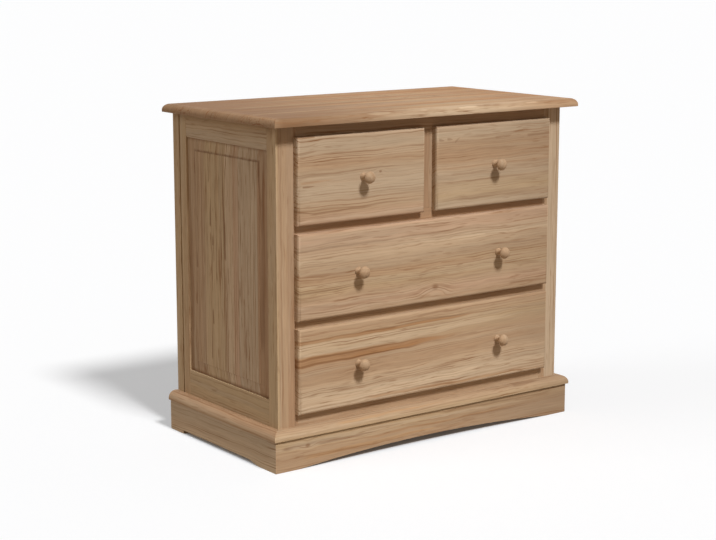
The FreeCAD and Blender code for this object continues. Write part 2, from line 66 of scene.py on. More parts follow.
DRAWERS = ("upper_left_drawer", "upper_right_drawer", "middle_drawer", "lower_drawer")

# Camera, as the photograph was taken: metres, degrees and pixels, and the sensor in millimetres.
PHOTO_WIDTH = 716
CAMERA_PLACE = (-2.7327, -3.6155, 1.2909)
CAMERA_TURN = -36.48
CAMERA_DROP = 10.77
FOCAL_PIXELS = 1681.5
SENSOR_WIDTH = 36.0
# The tilt at which a camera looks level.
CAMERA_LEVEL = 90.0

# Light: a large key lamp in front of the chest, and a weak fill behind its left side. Angles are in degrees.
Lamp = namedtuple("Lamp", "strength height bearing spread colour")
KEY = Lamp(strength=2.8, height=49.5, bearing=-3.0, spread=10.0, colour=(1.0, 0.99, 0.97))
FILL = Lamp(strength=0.40, height=30.0, bearing=-108.0, spread=30.0, colour=(0.88, 0.94, 0.94))
# How far off the lamps stand, in metres.
LAMP_DISTANCE = 6.0
# The light from all round the room.
ROOM_LIGHT = (0.27, 0.212, 0.158, 1.0)
WHITE = (1.0, 1.0, 1.0, 1.0)
BLACK = (0.0, 0.0, 0.0, 1.0)

# Floor: its half width and how far the camera sees, in metres.
FLOOR_REACH = 40.0
VIEW_REACH = 160.0
# The colour that it throws up at the chest, the one that the camera sees, and how rough it is.
FLOOR_BOUNCE = (0.39, 0.33, 0.27, 1.0)
FLOOR_SEEN = (0.70, 0.71, 0.73, 1.0)
FLOOR_ROUGH = 0.9
# Its glow in the open, and the painted shade it darkens to close under the chest.
FLOOR_GLOW = (0.281, 0.315, 0.350, 1.0)
UNDER_GLOW = (0.050, 0.042, 0.036, 1.0)
# How near, in metres, the chest must be for painted shade, and the shares of open view at which it is
# darkest and clear.
CONTACT_SHADE = 0.35
CONTACT_DARK = 0.24
CONTACT_CLEAR = 0.50

# Joinery: how far an arris is eased on waxed and on bare boards, in metres, in how many steps and how round.
WAXED_ARRIS = 0.0008
BOX_ARRIS = 0.0005
ARRIS_STEPS = 2
ARRIS_ROUND = 0.5
# An arris turns more than this and is longer than this, in metres.
SHARP = math.radians(50)
SHORTEST_ARRIS = 0.012
# Corners closer than this, in metres, are one corner, and faces that turn less than this are one face.
WELD = 2e-6
FLAT = math.radians(0.5)
# An edge that turns more than this is shaded as a crease.
CREASE = math.radians(28)

# Screws: facets round them, and the point's radius and length in radii of the shank.
SCREW_FACETS = 24
POINT_RADIUS = 0.2
POINT_LENGTH = 2
# The head's rings from its underside up, as shares of its thickness below the top and of its radius.
HEAD_PROFILE = ((1.0, 0.96), (0.85, 1.0), (0.5, 0.97), (0.2, 0.85), (0.0, 0.62))
# A point further out than this share of the head's radius belongs to the head.
HEAD_ONLY = 0.75
# The cross recess as shares of the head's radius and height, and its floor's size as a share of its mouth's.
RECESS_ARM = 0.50
RECESS_HALF_WIDTH = 0.13
RECESS_DEPTH = 0.65
RECESS_TAPER = 0.7


def dye(red, green, blue):
    """A display colour, 0 to 255, as the linear colour that a shader takes."""
    def linear(value):
        share = value / 255
        return share / 12.92 if share <= 0.04045 else ((share + 0.055) / 1.055) ** 2.4
    return (linear(red), linear(green), linear(blue), 1.0)


# Pine: the tones of its growth, streaks, stains and painted shade, and last the two of bare wood.
TONES = {
    "pale": dye(202, 180, 153),
    "ash": dye(186, 166, 142),
    "rose": dye(190, 161, 136),
    "straw": dye(186, 162, 130),
    "tan": dye(178, 151, 123),
    "russet": dye(168, 137, 109),
    "chestnut": dye(147, 116, 89),
    "amber": dye(184, 145, 104),
    "honey": dye(166, 121, 80),
    "umber": dye(118, 83, 55),
    "walnut": dye(130, 98, 70),
    # Painted shade, for the light that falls off to the right of the front.
    "driftwood": dye(136, 114, 93),
    "cream": dye(221, 197, 157),
    "butter": dye(215, 187, 143),
}
# The brown of its lines and of its knots.
LINE_BROWN = dye(136, 99, 68)
KNOT_BROWN = dye(126, 88, 58)
# Plywood: its veneer, the figure and pores on that, and its crossed layer.
VENEER = dye(214, 187, 146)
VENEER_LINE = dye(186, 152, 108)
PLY_CORE = dye(176, 142, 100)
# Zinc, bright and dulled.
ZINC = dye(190, 192, 194)
ZINC_DULL = dye(150, 152, 154)


class Wire:
    """A shader socket to do sums with: each operator adds a Math node to its finish."""

    def __init__(self, finish, socket):
        self.finish = finish
        self.socket = socket

    def beside(self, output):
        """Another output of the same node."""
        return Wire(self.finish, self.socket.node.outputs[output])

    def reckon(self, operation, *values):
        return self.finish.node("ShaderNodeMath", {"operation": operation}, dict(enumerate(values)))

    def __add__(self, other):
        return self.reckon("ADD", self, other)

    def __radd__(self, other):
        return self.reckon("ADD", other, self)

    def __sub__(self, other):
        return self.reckon("SUBTRACT", self, other)

    def __rsub__(self, other):
        return self.reckon("SUBTRACT", other, self)

    def __mul__(self, other):
        return self.reckon("MULTIPLY", self, other)

    def __truediv__(self, other):
        return self.reckon("DIVIDE", self, other)

    def __abs__(self):
        return self.reckon("ABSOLUTE", self)

    def __floor__(self):
        return self.reckon("FLOOR", self)

    def root(self):
        return self.reckon("SQRT", self)

    def larger(self, other):
        return self.reckon("MAXIMUM", self, other)

    def smaller(self, other):
        return self.reckon("MINIMUM", self, other)


class Finish:
    """A material or a world in the making: its nodes, and the shader that they feed."""

    def __init__(self, owner, shader="Principled BSDF"):
        owner.use_nodes = True
        self.owner = owner
        self.tree = owner.node_tree
        self.shader = self.tree.nodes[shader]

    def node(self, kind, settings=(), sockets=(), output=0):
        """Adds one node: its type, its settings, then the values or links of its sockets."""
        made = self.tree.nodes.new(kind)
        for name, value in dict(settings).items():
            if name == "color_ramp":
                set_stops(made.color_ramp, *value)
            else:
                setattr(made, name, value)
        for key, value in dict(sockets).items():
            self.feed(made.inputs[key], value)
        return Wire(self, made.outputs[output])

    def feed(self, socket, value):
        if isinstance(value, Wire):
            self.tree.links.new(value.socket, socket)
        else:
            socket.default_value = value

    def surface(self, sockets):
        """Feeds the shader's own sockets, and gives back what it is the finish of."""
        for name, value in sockets.items():
            self.feed(self.shader.inputs[name], value)
        return self.owner

    def ease(self, value, low, high):
        """0 below low, 1 above high, and a smooth step between them."""
        sockets = {"Value": value, "From Min": low, "From Max": high}
        return self.node("ShaderNodeMapRange", {"interpolation_type": "SMOOTHSTEP"}, sockets)

    def blend(self, share, first, second, how="MIX"):
        settings = {"data_type": "RGBA", "blend_type": how}
        return self.node("ShaderNodeMix", settings, {0: share, 6: first, 7: second}, output=2)

    def ramp(self, share, how, stops):
        return self.node("ShaderNodeValToRGB", {"color_ramp": (how, stops)}, {0: share})

    def vector(self, x, y, z):
        return self.node("ShaderNodeCombineXYZ", (), {0: x, 1: y, 2: z})

    def noise(self, place, detail=2.0):
        sockets = {"Vector": place, "Scale": 1.0, "Detail": detail}
        return self.node("ShaderNodeTexNoise", (), sockets)

    def chance(self, value):
        """A number from 0 to 1 drawn by lot for each whole value."""
        return self.node("ShaderNodeTexWhiteNoise", {"noise_dimensions": "1D"}, {"W": value})

    def axes(self, output):
        """The three axes of a Texture Coordinate output, by letter."""
        place = self.node("ShaderNodeTexCoord", output=output)
        split = self.node("ShaderNodeSeparateXYZ", (), {0: place})
        return {axis: split.beside(axis) for axis in "XYZ"}

    def relief(self, height, strength, depth):
        return self.node("ShaderNodeBump", (), {"Height": height, "Strength": strength, "Distance": depth})


def set_stops(ramp, how, stops):
    """Gives a colour ramp its stops, each a place from 0 to 1 and four numbers."""
    ramp.interpolation = how
    while len(ramp.elements) > 1:
        ramp.elements.remove(ramp.elements[-1])
    ramp.elements[0].position = stops[0][0]
    ramp.elements[0].color = stops[0][1]
    for place, numbers in stops[1:]:
        ramp.elements.new(place).color = numbers


def node_limits(node):
    """The lowest and highest place of a node on each axis, by letter."""
    return dict(zip("XYZ", zip(*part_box(node))))


def new_finish(node):
    return Finish(bpy.data.materials.new(f"{SLOTS[node]}_{node}"))


# How a board is cut: the axis along its grain, the one across its face and the one through its thickness.
Cut = namedtuple("Cut", "along across through")
TOP_CUT = Cut("X", "Y", "Z")
FRONT_CUT = Cut("X", "Z", "Y")
UPRIGHT_CUT = Cut("Z", "X", "Y")
SIDE_UPRIGHT_CUT = Cut("Z", "Y", "X")
SIDE_CUT = Cut("Y", "Z", "X")
TURNED_CUT = Cut("Y", "X", "Z")

# A band of one tone over part of a board, from its low edge up. The bands share out the board's width.
Band = namedtuple("Band", "width tone")
# A streak from one point of the face to another, and a knot, in metres along and across the grain.
Streak = namedtuple("Streak", "start start_across end end_across width tone strength")
Knot = namedtuple("Knot", "along across size")
# A tone that is strong at one place along the board and gone at another; some of these are painted shade.
Stain = namedtuple("Stain", "strong gone tone strength")
# The raised field of a panel: its edges across and along the grain, in metres.
Field = namedtuple("Field", "low_across high_across low_along high_along")


class Board(NamedTuple):
    """One board of pine, as it is sawn and as it is marked."""
    cut: Cut
    bands: list
    # Bands that are glued are staves, each with a pith of its own.
    glued: bool = False
    # How far its grain rises for each metre of length, and how far it sways, in metres.
    slope: float = 0.0
    sway: float = 0.012
    # How far apart its rings lie, in metres, and how strong its lines are.
    ring: float = 0.0065
    lines: float = 1.0
    streaks: tuple = ()
    knots: tuple = ()
    stains_and_shade: tuple = ()
    field: Field = None


# Where the pith lies, in metres: so far aside that the lines on a board's face run nearly straight.
PITH_ASIDE = 0.26
PITH_DEPTH = 0.16
# What each stave draws by lot, as shares of these: one side or the other and a spread there, and a depth.
PITH_SIDES = (0.0, 0.8)
PITH_SPREAD = 0.2
PITH_DEPTHS = (0.3, 1.0)
# How far apart, in metres of grain, two staves lie in the timber that they are sawn from.
LOG_SPACING = 37.0
# How far, in metres, the grain waves to and fro over the length of a hand.
RIPPLE = 0.012

# A pattern's cells for each metre along the grain and across it, and the steps of finer detail in it.
Cells = namedtuple("Cells", "along across detail", defaults=(2.0,))
DRIFT_CELLS = Cells(1.0, 4.0)
RIPPLE_CELLS = Cells(9.0, 24.0)
FIBRE_CELLS = Cells(12.0, 340.0, 3.0)
BREAK_CELLS = Cells(5.0, 45.0)
MARK_CELLS = Cells(2.0, 9.0)
VEIN_CELLS = Cells(6.0, 130.0)
FLECK_CELLS = Cells(20.0, 210.0, 1.0)
CLOUD_CELLS = Cells(2.5, 60.0, 3.0)
# The same for a pattern that follows the rings: along the grain, out from the pith, and its own layer.
RingCells = namedtuple("RingCells", "along outward layer detail", defaults=(2.0,))
BLUSH_CELLS = RingCells(0.9, 40.0, 8.0)
GREY_CELLS = RingCells(1.3, 60.0, 15.0)
SWELL_CELLS = RingCells(0.7, 48.0, 3.0, 3.0)
# Noise goes from 0 to 1 about its middle, and a pattern sets in and is full at these levels of it.
NOISE_MIDDLE = 0.5
BREAK_SHOWS = (0.38, 0.62)
MARK_SHOWS = (0.42, 0.60)
VEIN_SHOWS = (0.54, 0.70)
FLECK_SHOWS = (0.58, 0.74)
BLUSH_SHOWS = (0.45, 0.68)
GREY_SHOWS = (0.48, 0.66)

# Growth: the cells for each metre out from the pith in which its pace changes, and by how many rings.
PACE_CELLS = 70.0
PACE_RINGS = 2.4
# The shares of a ring over which its late wood sets in and ends.
LATE_STARTS = (0.48, 0.90)
LATE_ENDS = (0.93, 1.0)
# The ring lots that a board skips for each 1 of its seed, so that two boards differ.
RING_LOTS = 10
# The least and the most brown of a line, by how bold its ring is.
LINE_STRENGTH = (0.06, 0.90)
# The same for veins and flecks, by how marked the board is there.
VEIN_STRENGTH = (0.10, 0.44)
FLECK_STRENGTH = (0.12, 0.40)
# What is left of a line where it breaks up and where it is whole.
LINE_LEFT = (0.30, 1.0)
# How much stronger lines, veins and flecks are on end grain.
END_GRAIN_LINES = 0.5
# How far a face has to turn across the grain before it shows end grain, and in full.
END_GRAIN_SHOWS = (0.55, 0.95)
# How far inside an arris, in metres, the wood is worn.
WORN_REACH = 0.003
# Knots: their length in widths, how many of their sizes off the rings bend, and by how many sizes.
KNOT_LENGTH = 1.6
KNOT_REACH = 4
KNOT_PUSH = 1.6
# The share of a knot that is its heart, and how brown it is.
KNOT_HEART = 0.3
KNOT_STRENGTH = 0.6
# How strong the redder blush and the grey along some rings are.
BLUSH_STRENGTH = 0.35
GREY_STRENGTH = 0.40
# How far the edge of a stain or of painted shade wanders, as a share of its length.
STAIN_AND_SHADE_WANDER = 0.25
# Streaks: how far they waver, in metres.
STREAK_WAVER = 0.010
# The share of their length over which they fade at the far end, and the share of that at their start.
STREAK_FADE = 0.25
STREAK_START = 0.2
# How much they narrow, and the shares of their width between which their edges fade.
STREAK_TAPER = 0.7
STREAK_CORE = 0.25
STREAK_EDGE = 0.55
# What is left of them where they break up and where they are whole.
STREAK_LEFT = (0.7, 1.0)
# Painted shade in the corner round a raised field, in metres: how far outside the step, how wide and how
# uneven.
STEP_SHADE_ASIDE = 0.0015
STEP_SHADE_WIDTH = 0.0050
STEP_SHADE_UNEVEN = 0.002
# Its strength at the foot and at the head of the field.
STEP_SHADE_STRENGTH = (0.10, 0.70)
# What is left of it where it breaks up and where it is whole.
STEP_SHADE_LEFT = (0.6, 1.0)

# What a pattern does, where it is full, to the shade, the roughness and the relief of a surface.
Effect = namedtuple("Effect", "shade rough height", defaults=(0.0, 0.0, 0.0))
FIBRE = Effect(shade=0.38, rough=0.12, height=0.6)
LATE_WOOD = Effect(rough=0.08, height=-0.5)
FLECK = Effect(rough=0.10, height=-0.8)
WORN = Effect(shade=0.05, rough=-0.08)
SWELL = Effect(shade=0.24)
CLOUD = Effect(shade=0.22)
END_GRAIN = Effect(shade=-0.05)
# A surface without its patterns, and the strength and the depth in metres of its relief.
Surface = namedtuple("Surface", "shade rough gloss relief depth")
PINE = Surface(shade=1.055, rough=0.58, gloss=0.1, relief=0.25, depth=0.0004)


def span(share, least, most):
    """Goes from least to most while a share goes from 0 to 1."""
    return least + share * (most - least)


def band_stops(bands, glued):
    """Ramp stops over a board's width: where each stave starts, or the middle of each soft band."""
    total = sum(band.width for band in bands)
    stops = []
    edge = 0.0
    for band in bands:
        at = edge if glued else edge + band.width / 2
        stops.append((at / total, TONES[band.tone]))
        edge += band.width
    return stops


def pith_stops(board, lots):
    """Ramp stops: how far beside and behind each stave its pith lies, and from which log it comes."""
    starts = [at for at, _ in band_stops(board.bands, True)] if board.glued else [0.0]
    stops = []
    for start in starts:
        beside = lots.choice(PITH_SIDES) + lots.uniform(0.0, PITH_SPREAD)
        stops.append((start, (beside, lots.uniform(*PITH_DEPTHS), lots.random(), 1.0)))
    return stops


class Sawn:
    """A board in the making: its finish, and where a point lies along, across and through its grain."""

    def __init__(self, node, board, seed):
        self.finish = new_finish(node)
        self.board = board
        self.seed = seed
        self.limits = node_limits(node)
        self.place = self.finish.axes("Object")
        self.along, self.across, self.through = (self.place[axis] for axis in board.cut)
        self.low, self.high = self.limits[board.cut.across]
        self.length = self.along - sum(self.limits[board.cut.along]) / 2
        self.share = (self.across - self.low) / (self.high - self.low)
        pith = self.finish.ramp(self.share, "CONSTANT", pith_stops(board, random.Random(seed)))
        self.pith = self.finish.node("ShaderNodeSeparateColor", (), {0: pith})
        self.shift = self.length + seed + self.pith.beside("Blue") * LOG_SPACING
        self.level = self.across
        self.drift = self.drawn_out(DRIFT_CELLS) - NOISE_MIDDLE
        self.ripple = self.drawn_out(RIPPLE_CELLS) - NOISE_MIDDLE
        self.level = self.across + self.drift * board.sway + self.ripple * RIPPLE
        self.level = self.level - self.length * board.slope
        self.fibre = self.drawn_out(FIBRE_CELLS) - NOISE_MIDDLE
        self.broken = self.finish.ease(self.drawn_out(BREAK_CELLS), *BREAK_SHOWS)

    def drawn_out(self, cells):
        """Noise that is drawn out along the grain."""
        crosswise = (self.level * cells.across, self.through * cells.across)
        return self.finish.noise(self.finish.vector(self.shift * cells.along, *crosswise), cells.detail)

    def along_rings(self, radius, cells):
        """Noise that follows the rings, at a point this far from the pith."""
        outward = radius * cells.outward
        place = self.finish.vector(outward, self.length * cells.along, self.seed + cells.layer)
        return self.finish.noise(place, cells.detail)

    def arrises(self):
        """1 along the outer arrises of the board, and 0 further inside them than the wear reaches."""
        inset = []
        for axis, (low, high) in self.limits.items():
            inset.append((high - low) / 2 - abs(self.place[axis] - (low + high) / 2))
        first, second, third = inset
        nearest_two = first.smaller(second).larger(first.larger(second).smaller(third))
        return 1 - self.finish.ease(nearest_two + self.fibre * WORN_REACH, 0.0, WORN_REACH)

    def end_grain(self):
        return self.finish.ease(abs(self.finish.axes("Normal")[self.board.cut.along]), *END_GRAIN_SHOWS)


def ring_radius(sawn):
    """The distance from the pith, pushed aside by each knot, and how much a point is knot wood."""
    finish, board = sawn.finish, sawn.board
    middle = (sawn.low + sawn.high) / 2
    beside = sawn.level - middle - span(sawn.pith.beside("Red"), -PITH_ASIDE, PITH_ASIDE)
    behind = sawn.through - sawn.limits[board.cut.through][0] + sawn.pith.beside("Green") * PITH_DEPTH
    radius = (beside * beside + behind * behind).root()
    knot_wood = 0.0
    for knot in board.knots:
        reach_along = (sawn.along - knot.along) / KNOT_LENGTH
        reach_across = sawn.across - knot.across
        reach = (reach_along * reach_along + reach_across * reach_across).root() + sawn.ripple * knot.size
        push = knot.size * KNOT_PUSH
        radius = radius + (1 - finish.ease(reach, 0.0, knot.size * KNOT_REACH)) * push
        knot_wood = (1 - finish.ease(reach, knot.size * KNOT_HEART, knot.size)) + knot_wood
    return radius, knot_wood


def late_wood(sawn, radius):
    """How far a point lies in the darker late wood of its ring, and how bold that ring is, both 0 to 1."""
    finish = sawn.finish
    pace = finish.noise(finish.vector(radius * PACE_CELLS, sawn.seed, 0.0))
    rings = radius / sawn.board.ring + pace * PACE_RINGS
    number = math.floor(rings)
    growth = rings - number
    late = finish.ease(growth, *LATE_STARTS) * (1 - finish.ease(growth, *LATE_ENDS))
    return late, finish.chance(number + sawn.seed * RING_LOTS)


def ground_colour(sawn, radius):
    """The board's bands or staves, redder or greyer along some of its rings, and its stains and painted
    shade.
    """
    finish, board = sawn.finish, sawn.board
    share = sawn.share if board.glued else (sawn.level - sawn.low) / (sawn.high - sawn.low)
    how = "CONSTANT" if board.glued else "LINEAR"
    colour = finish.ramp(share, how, band_stops(board.bands, board.glued))
    blush = finish.ease(sawn.along_rings(radius, BLUSH_CELLS), *BLUSH_SHOWS)
    colour = finish.blend(blush * BLUSH_STRENGTH, colour, TONES["russet"])
    greyed = finish.ease(sawn.along_rings(radius, GREY_CELLS), *GREY_SHOWS)
    colour = finish.blend(greyed * GREY_STRENGTH, colour, TONES["ash"])
    for shade_stain in board.stains_and_shade:
        wander = sawn.drift * abs(shade_stain.gone - shade_stain.strong) * STAIN_AND_SHADE_WANDER
        spread = 1 - finish.ease(sawn.along + wander, shade_stain.strong, shade_stain.gone)
        colour = finish.blend(spread * shade_stain.strength, colour, TONES[shade_stain.tone])
    return colour


def streaked(sawn, colour):
    """Adds the board's own streaks, which waver, break up, and narrow and fade towards their far end."""
    finish = sawn.finish
    for streak in sawn.board.streaks:
        length = streak.end - streak.start
        rise = (streak.end_across - streak.start_across) / length
        fade = length * STREAK_FADE
        begin = fade * STREAK_START
        line = sawn.across - streak.start_across - (sawn.along - streak.start) * rise
        aside = abs(line + sawn.ripple * STREAK_WAVER)
        inside = finish.ease(sawn.along, streak.start - begin, streak.start + begin)
        inside = inside * (1 - finish.ease(sawn.along, streak.end - fade, streak.end))
        narrowed = finish.ease(sawn.along, streak.start + fade, streak.end) * STREAK_TAPER
        width = (1 - narrowed) * streak.width
        body = 1 - finish.ease(aside, width * STREAK_CORE, width * STREAK_EDGE)
        share = body * inside * span(sawn.broken, *STREAK_LEFT) * streak.strength
        colour = finish.blend(share, colour, TONES[streak.tone])
    return colour


def painted_step_shade(sawn, colour):
    """Paints shade into the corner round a raised field, most of it at the upper edge."""
    finish, field = sawn.finish, sawn.board.field
    beside = abs(sawn.across - (field.low_across + field.high_across) / 2)
    above = abs(sawn.along - (field.low_along + field.high_along) / 2)
    outside_across = beside - (field.high_across - field.low_across) / 2
    outside_along = above - (field.high_along - field.low_along) / 2
    aside = abs(outside_across.larger(outside_along) - STEP_SHADE_ASIDE) + sawn.fibre * STEP_SHADE_UNEVEN
    height = finish.ease(sawn.along, field.low_along, field.high_along)
    share = (1 - finish.ease(aside, 0.0, STEP_SHADE_WIDTH)) * span(height, *STEP_SHADE_STRENGTH)
    return finish.blend(share * span(sawn.broken, *STEP_SHADE_LEFT), colour, TONES["umber"])


def pine(node, board, seed):
    """Pine sawn from the log: growth rings about each stave's own pith, so faces, edges and ends agree."""
    sawn = Sawn(node, board, seed)
    finish = sawn.finish
    fibre = sawn.fibre
    radius, knot_wood = ring_radius(sawn)
    late, boldness = late_wood(sawn, radius)
    end_grain = sawn.end_grain()
    worn = sawn.arrises()

    marked = finish.ease(sawn.drawn_out(MARK_CELLS), *MARK_SHOWS)
    vein = finish.ease(sawn.drawn_out(VEIN_CELLS), *VEIN_SHOWS)
    fleck = finish.ease(sawn.drawn_out(FLECK_CELLS), *FLECK_SHOWS)
    line = late * span(boldness * boldness, *LINE_STRENGTH) * span(sawn.broken, *LINE_LEFT)
    brown = line + vein * span(marked, *VEIN_STRENGTH) + fleck * span(marked, *FLECK_STRENGTH)

    colour = streaked(sawn, ground_colour(sawn, radius))
    # Painted shade in the corner round a panel's raised field.
    if board.field:
        colour = painted_step_shade(sawn, colour)
    colour = finish.blend(brown * (1 + end_grain * END_GRAIN_LINES) * board.lines, colour, LINE_BROWN)
    if board.knots:
        colour = finish.blend(knot_wood * KNOT_STRENGTH, colour, KNOT_BROWN)
    swell = sawn.along_rings(radius, SWELL_CELLS) - NOISE_MIDDLE
    cloud = sawn.drawn_out(CLOUD_CELLS) - NOISE_MIDDLE
    shade = PINE.shade + swell * SWELL.shade + cloud * CLOUD.shade + fibre * FIBRE.shade + worn * WORN.shade
    colour = finish.blend(1.0, colour, shade * (1 + end_grain * END_GRAIN.shade), how="MULTIPLY")

    rough = PINE.rough + late * LATE_WOOD.rough + fleck * FLECK.rough
    rough = rough + fibre * FIBRE.rough + worn * WORN.rough
    height = fibre * FIBRE.height + late * LATE_WOOD.height + fleck * FLECK.height
    return finish.surface({
        "Base Color": colour,
        "Roughness": rough,
        "Specular IOR Level": PINE.gloss,
        "Normal": finish.relief(height, PINE.relief, PINE.depth),
    })


# Plywood: its layers, and the patterns of its veneer, with the cells that the figure wavers by.
PLY_LAYERS = 3.0
WAVER_CELLS = Cells(1.5, 3.0)
FIGURE_CELLS = Cells(1.2, 26.0, 4.0)
VENEER_CELLS = Cells(14.0, 520.0)
PORE_CELLS = Cells(60.0, 700.0, 1.0)
FIGURE_WAVER = 9.0
FIGURE_SHOWS = (0.46, 0.62)
PORE_SHOWS = (0.64, 0.74)
# How dark the figure, the pores and the crossed layer are.
FIGURE_STRENGTH = 0.5
PORE_STRENGTH = 0.35
CROSSED_STRENGTH = 0.8
# How far a surface has to turn from the edge towards the face before it shows veneer, and only veneer.
PLY_FACE_SHOWS = (0.4, 0.8)
WAVER = Effect(shade=0.12)
VENEER_FIBRE = Effect(shade=0.16, rough=0.15, height=0.5)
PORE = Effect(rough=0.1, height=-0.6)
PLYWOOD = Surface(shade=1.0, rough=0.60, gloss=0.15, relief=0.2, depth=0.0003)


def plywood(node, cut, seed):
    """Thin plywood: quiet rotary-cut veneer on both faces, and crossed layers along every edge."""
    finish = new_finish(node)
    place = finish.axes("Object")
    along, across, through = (place[axis] for axis in cut)
    low, high = node_limits(node)[cut.through]

    def drawn_out(cells, aside=0.0):
        """Noise that is drawn out along the veneer's grain."""
        spot = finish.vector(along * cells.along + seed, across * cells.across + aside, 0.0)
        return finish.noise(spot, cells.detail)

    waver = drawn_out(WAVER_CELLS) - NOISE_MIDDLE
    figure = finish.ease(drawn_out(FIGURE_CELLS, waver * FIGURE_WAVER), *FIGURE_SHOWS)
    fibre = drawn_out(VENEER_CELLS) - NOISE_MIDDLE
    pore = finish.ease(drawn_out(PORE_CELLS), *PORE_SHOWS)
    face = finish.blend(figure * FIGURE_STRENGTH + pore * PORE_STRENGTH, VENEER, VENEER_LINE)
    layer = math.floor((through - low) / (high - low) * PLY_LAYERS)
    crossed = 1 - finish.ease(abs(layer - (PLY_LAYERS - 1) / 2), 0.0, 1.0)
    edge = finish.blend(crossed * CROSSED_STRENGTH, VENEER, PLY_CORE)
    on_face = finish.ease(abs(finish.axes("Normal")[cut.through]), *PLY_FACE_SHOWS)
    colour = finish.blend(1 - on_face, face, edge)
    shade = PLYWOOD.shade + fibre * VENEER_FIBRE.shade + waver * WAVER.shade
    height = fibre * VENEER_FIBRE.height + pore * PORE.height
    return finish.surface({
        "Base Color": finish.blend(1.0, colour, shade, how="MULTIPLY"),
        "Roughness": PLYWOOD.rough + fibre * VENEER_FIBRE.rough + pore * PORE.rough,
        "Specular IOR Level": PLYWOOD.gloss,
        "Normal": finish.relief(height, PLYWOOD.relief, PLYWOOD.depth),
    })


# Zinc: cells for each metre in its dull patches and fine scuffs, and what these do to it.
PATCH_CELLS = 420.0
PATCH_DETAIL = 3.0
SCUFF_CELLS = 2600.0
DULL_SHOWS = (0.42, 0.64)
BRIGHT_METAL = 0.95
DULL_METAL = 0.85
BRIGHT_ROUGH = 0.28
DULL_ROUGH = 0.48
SCUFF_ROUGH = 0.12
SCUFF_RELIEF = 0.15
SCUFF_DEPTH = 0.0001


def zinc_plate(node, seed):
    """Bright zinc plating over steel, dulled in patches and finely scuffed."""
    finish = new_finish(node)
    x, y, z = finish.axes("Object").values()
    patch_place = finish.vector(x * PATCH_CELLS + seed, y * PATCH_CELLS, z * PATCH_CELLS)
    scuff_place = finish.vector(x * SCUFF_CELLS, y * SCUFF_CELLS + seed, z * SCUFF_CELLS)
    dull = finish.ease(finish.noise(patch_place, PATCH_DETAIL), *DULL_SHOWS)
    scuff = finish.noise(scuff_place)
    return finish.surface({
        "Base Color": finish.blend(dull, ZINC, ZINC_DULL),
        "Metallic": span(dull, BRIGHT_METAL, DULL_METAL),
        "Roughness": span(dull, BRIGHT_ROUGH, DULL_ROUGH) + (scuff - NOISE_MIDDLE) * SCUFF_ROUGH,
        "Normal": finish.relief(scuff, SCUFF_RELIEF, SCUFF_DEPTH),
    })


def stand_for(node, mesh, suffix):
    """Puts a finished mesh in place of a CAD node, on the same body."""
    data = bpy.data.meshes.new(node + suffix)
    mesh.to_mesh(data)
    mesh.free()
    piece = bpy.data.objects.new(node + suffix, data)
    bpy.context.scene.collection.objects.link(piece)
    data.shade_smooth()
    data.set_sharp_from_angle(angle=CREASE)
    piece.modifiers.new("flat_faces_stay_flat", "WEIGHTED_NORMAL").keep_sharp = True
    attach(piece, frame["nodes"][node]["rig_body"])
    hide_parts(node)
    return piece


def welded(node):
    """A CAD node's mesh to work on, with its triangles' corners joined up."""
    mesh = bmesh.new()
    mesh.from_mesh(frame["nodes"][node].data)
    bmesh.ops.remove_doubles(mesh, verts=mesh.verts, dist=WELD)
    return mesh


def eased(node, arris):
    """A CAD board with its sharp arrises rounded over, as sanding leaves them."""
    mesh = welded(node)
    bmesh.ops.dissolve_limit(mesh, angle_limit=FLAT, verts=mesh.verts, edges=mesh.edges)
    sharp = [
        edge for edge in mesh.edges
        if edge.is_manifold and edge.calc_length() > SHORTEST_ARRIS and edge.calc_face_angle_signed() > SHARP
    ]
    bmesh.ops.bevel(
        mesh, geom=sharp, offset=arris, segments=ARRIS_STEPS, profile=ARRIS_ROUND,
        affect="EDGES", clamp_overlap=True,
    )
    return stand_for(node, mesh, "_eased")


def separate_solids(mesh):
    """The points of each solid in a mesh, as lists of places."""
    reached = set()
    for first in mesh.verts:
        if first.index in reached:
            continue
        reached.add(first.index)
        solid = [first]
        for vert in solid:
            for edge in vert.link_edges:
                other = edge.other_vert(vert)
                if other.index not in reached:
                    reached.add(other.index)
                    solid.append(other)
        yield [vert.co.copy() for vert in solid]


def cross_outline(arm, half_width):
    """The twelve corners of a cross, in order round it."""
    corners = []
    for turn in range(4):
        angle = turn * math.pi / 2
        for out, aside in ((half_width, -half_width), (arm, -half_width), (arm, half_width)):
            corners.append((out * math.cos(angle) - aside * math.sin(angle),
                            out * math.sin(angle) + aside * math.cos(angle)))
    return corners


def add_ring(mesh, corners, centre, depth):
    """A closed ring of edges square to Y, round a centre on X and Z."""
    verts = [mesh.verts.new((centre.x + across, depth, centre.z + up)) for across, up in corners]
    edges = [mesh.edges.new((vert, verts[number - 1])) for number, vert in enumerate(verts)]
    return verts, edges


def join_rings(mesh, first, second):
    for number in range(len(first)):
        mesh.faces.new((first[number - 1], first[number], second[number], second[number - 1]))


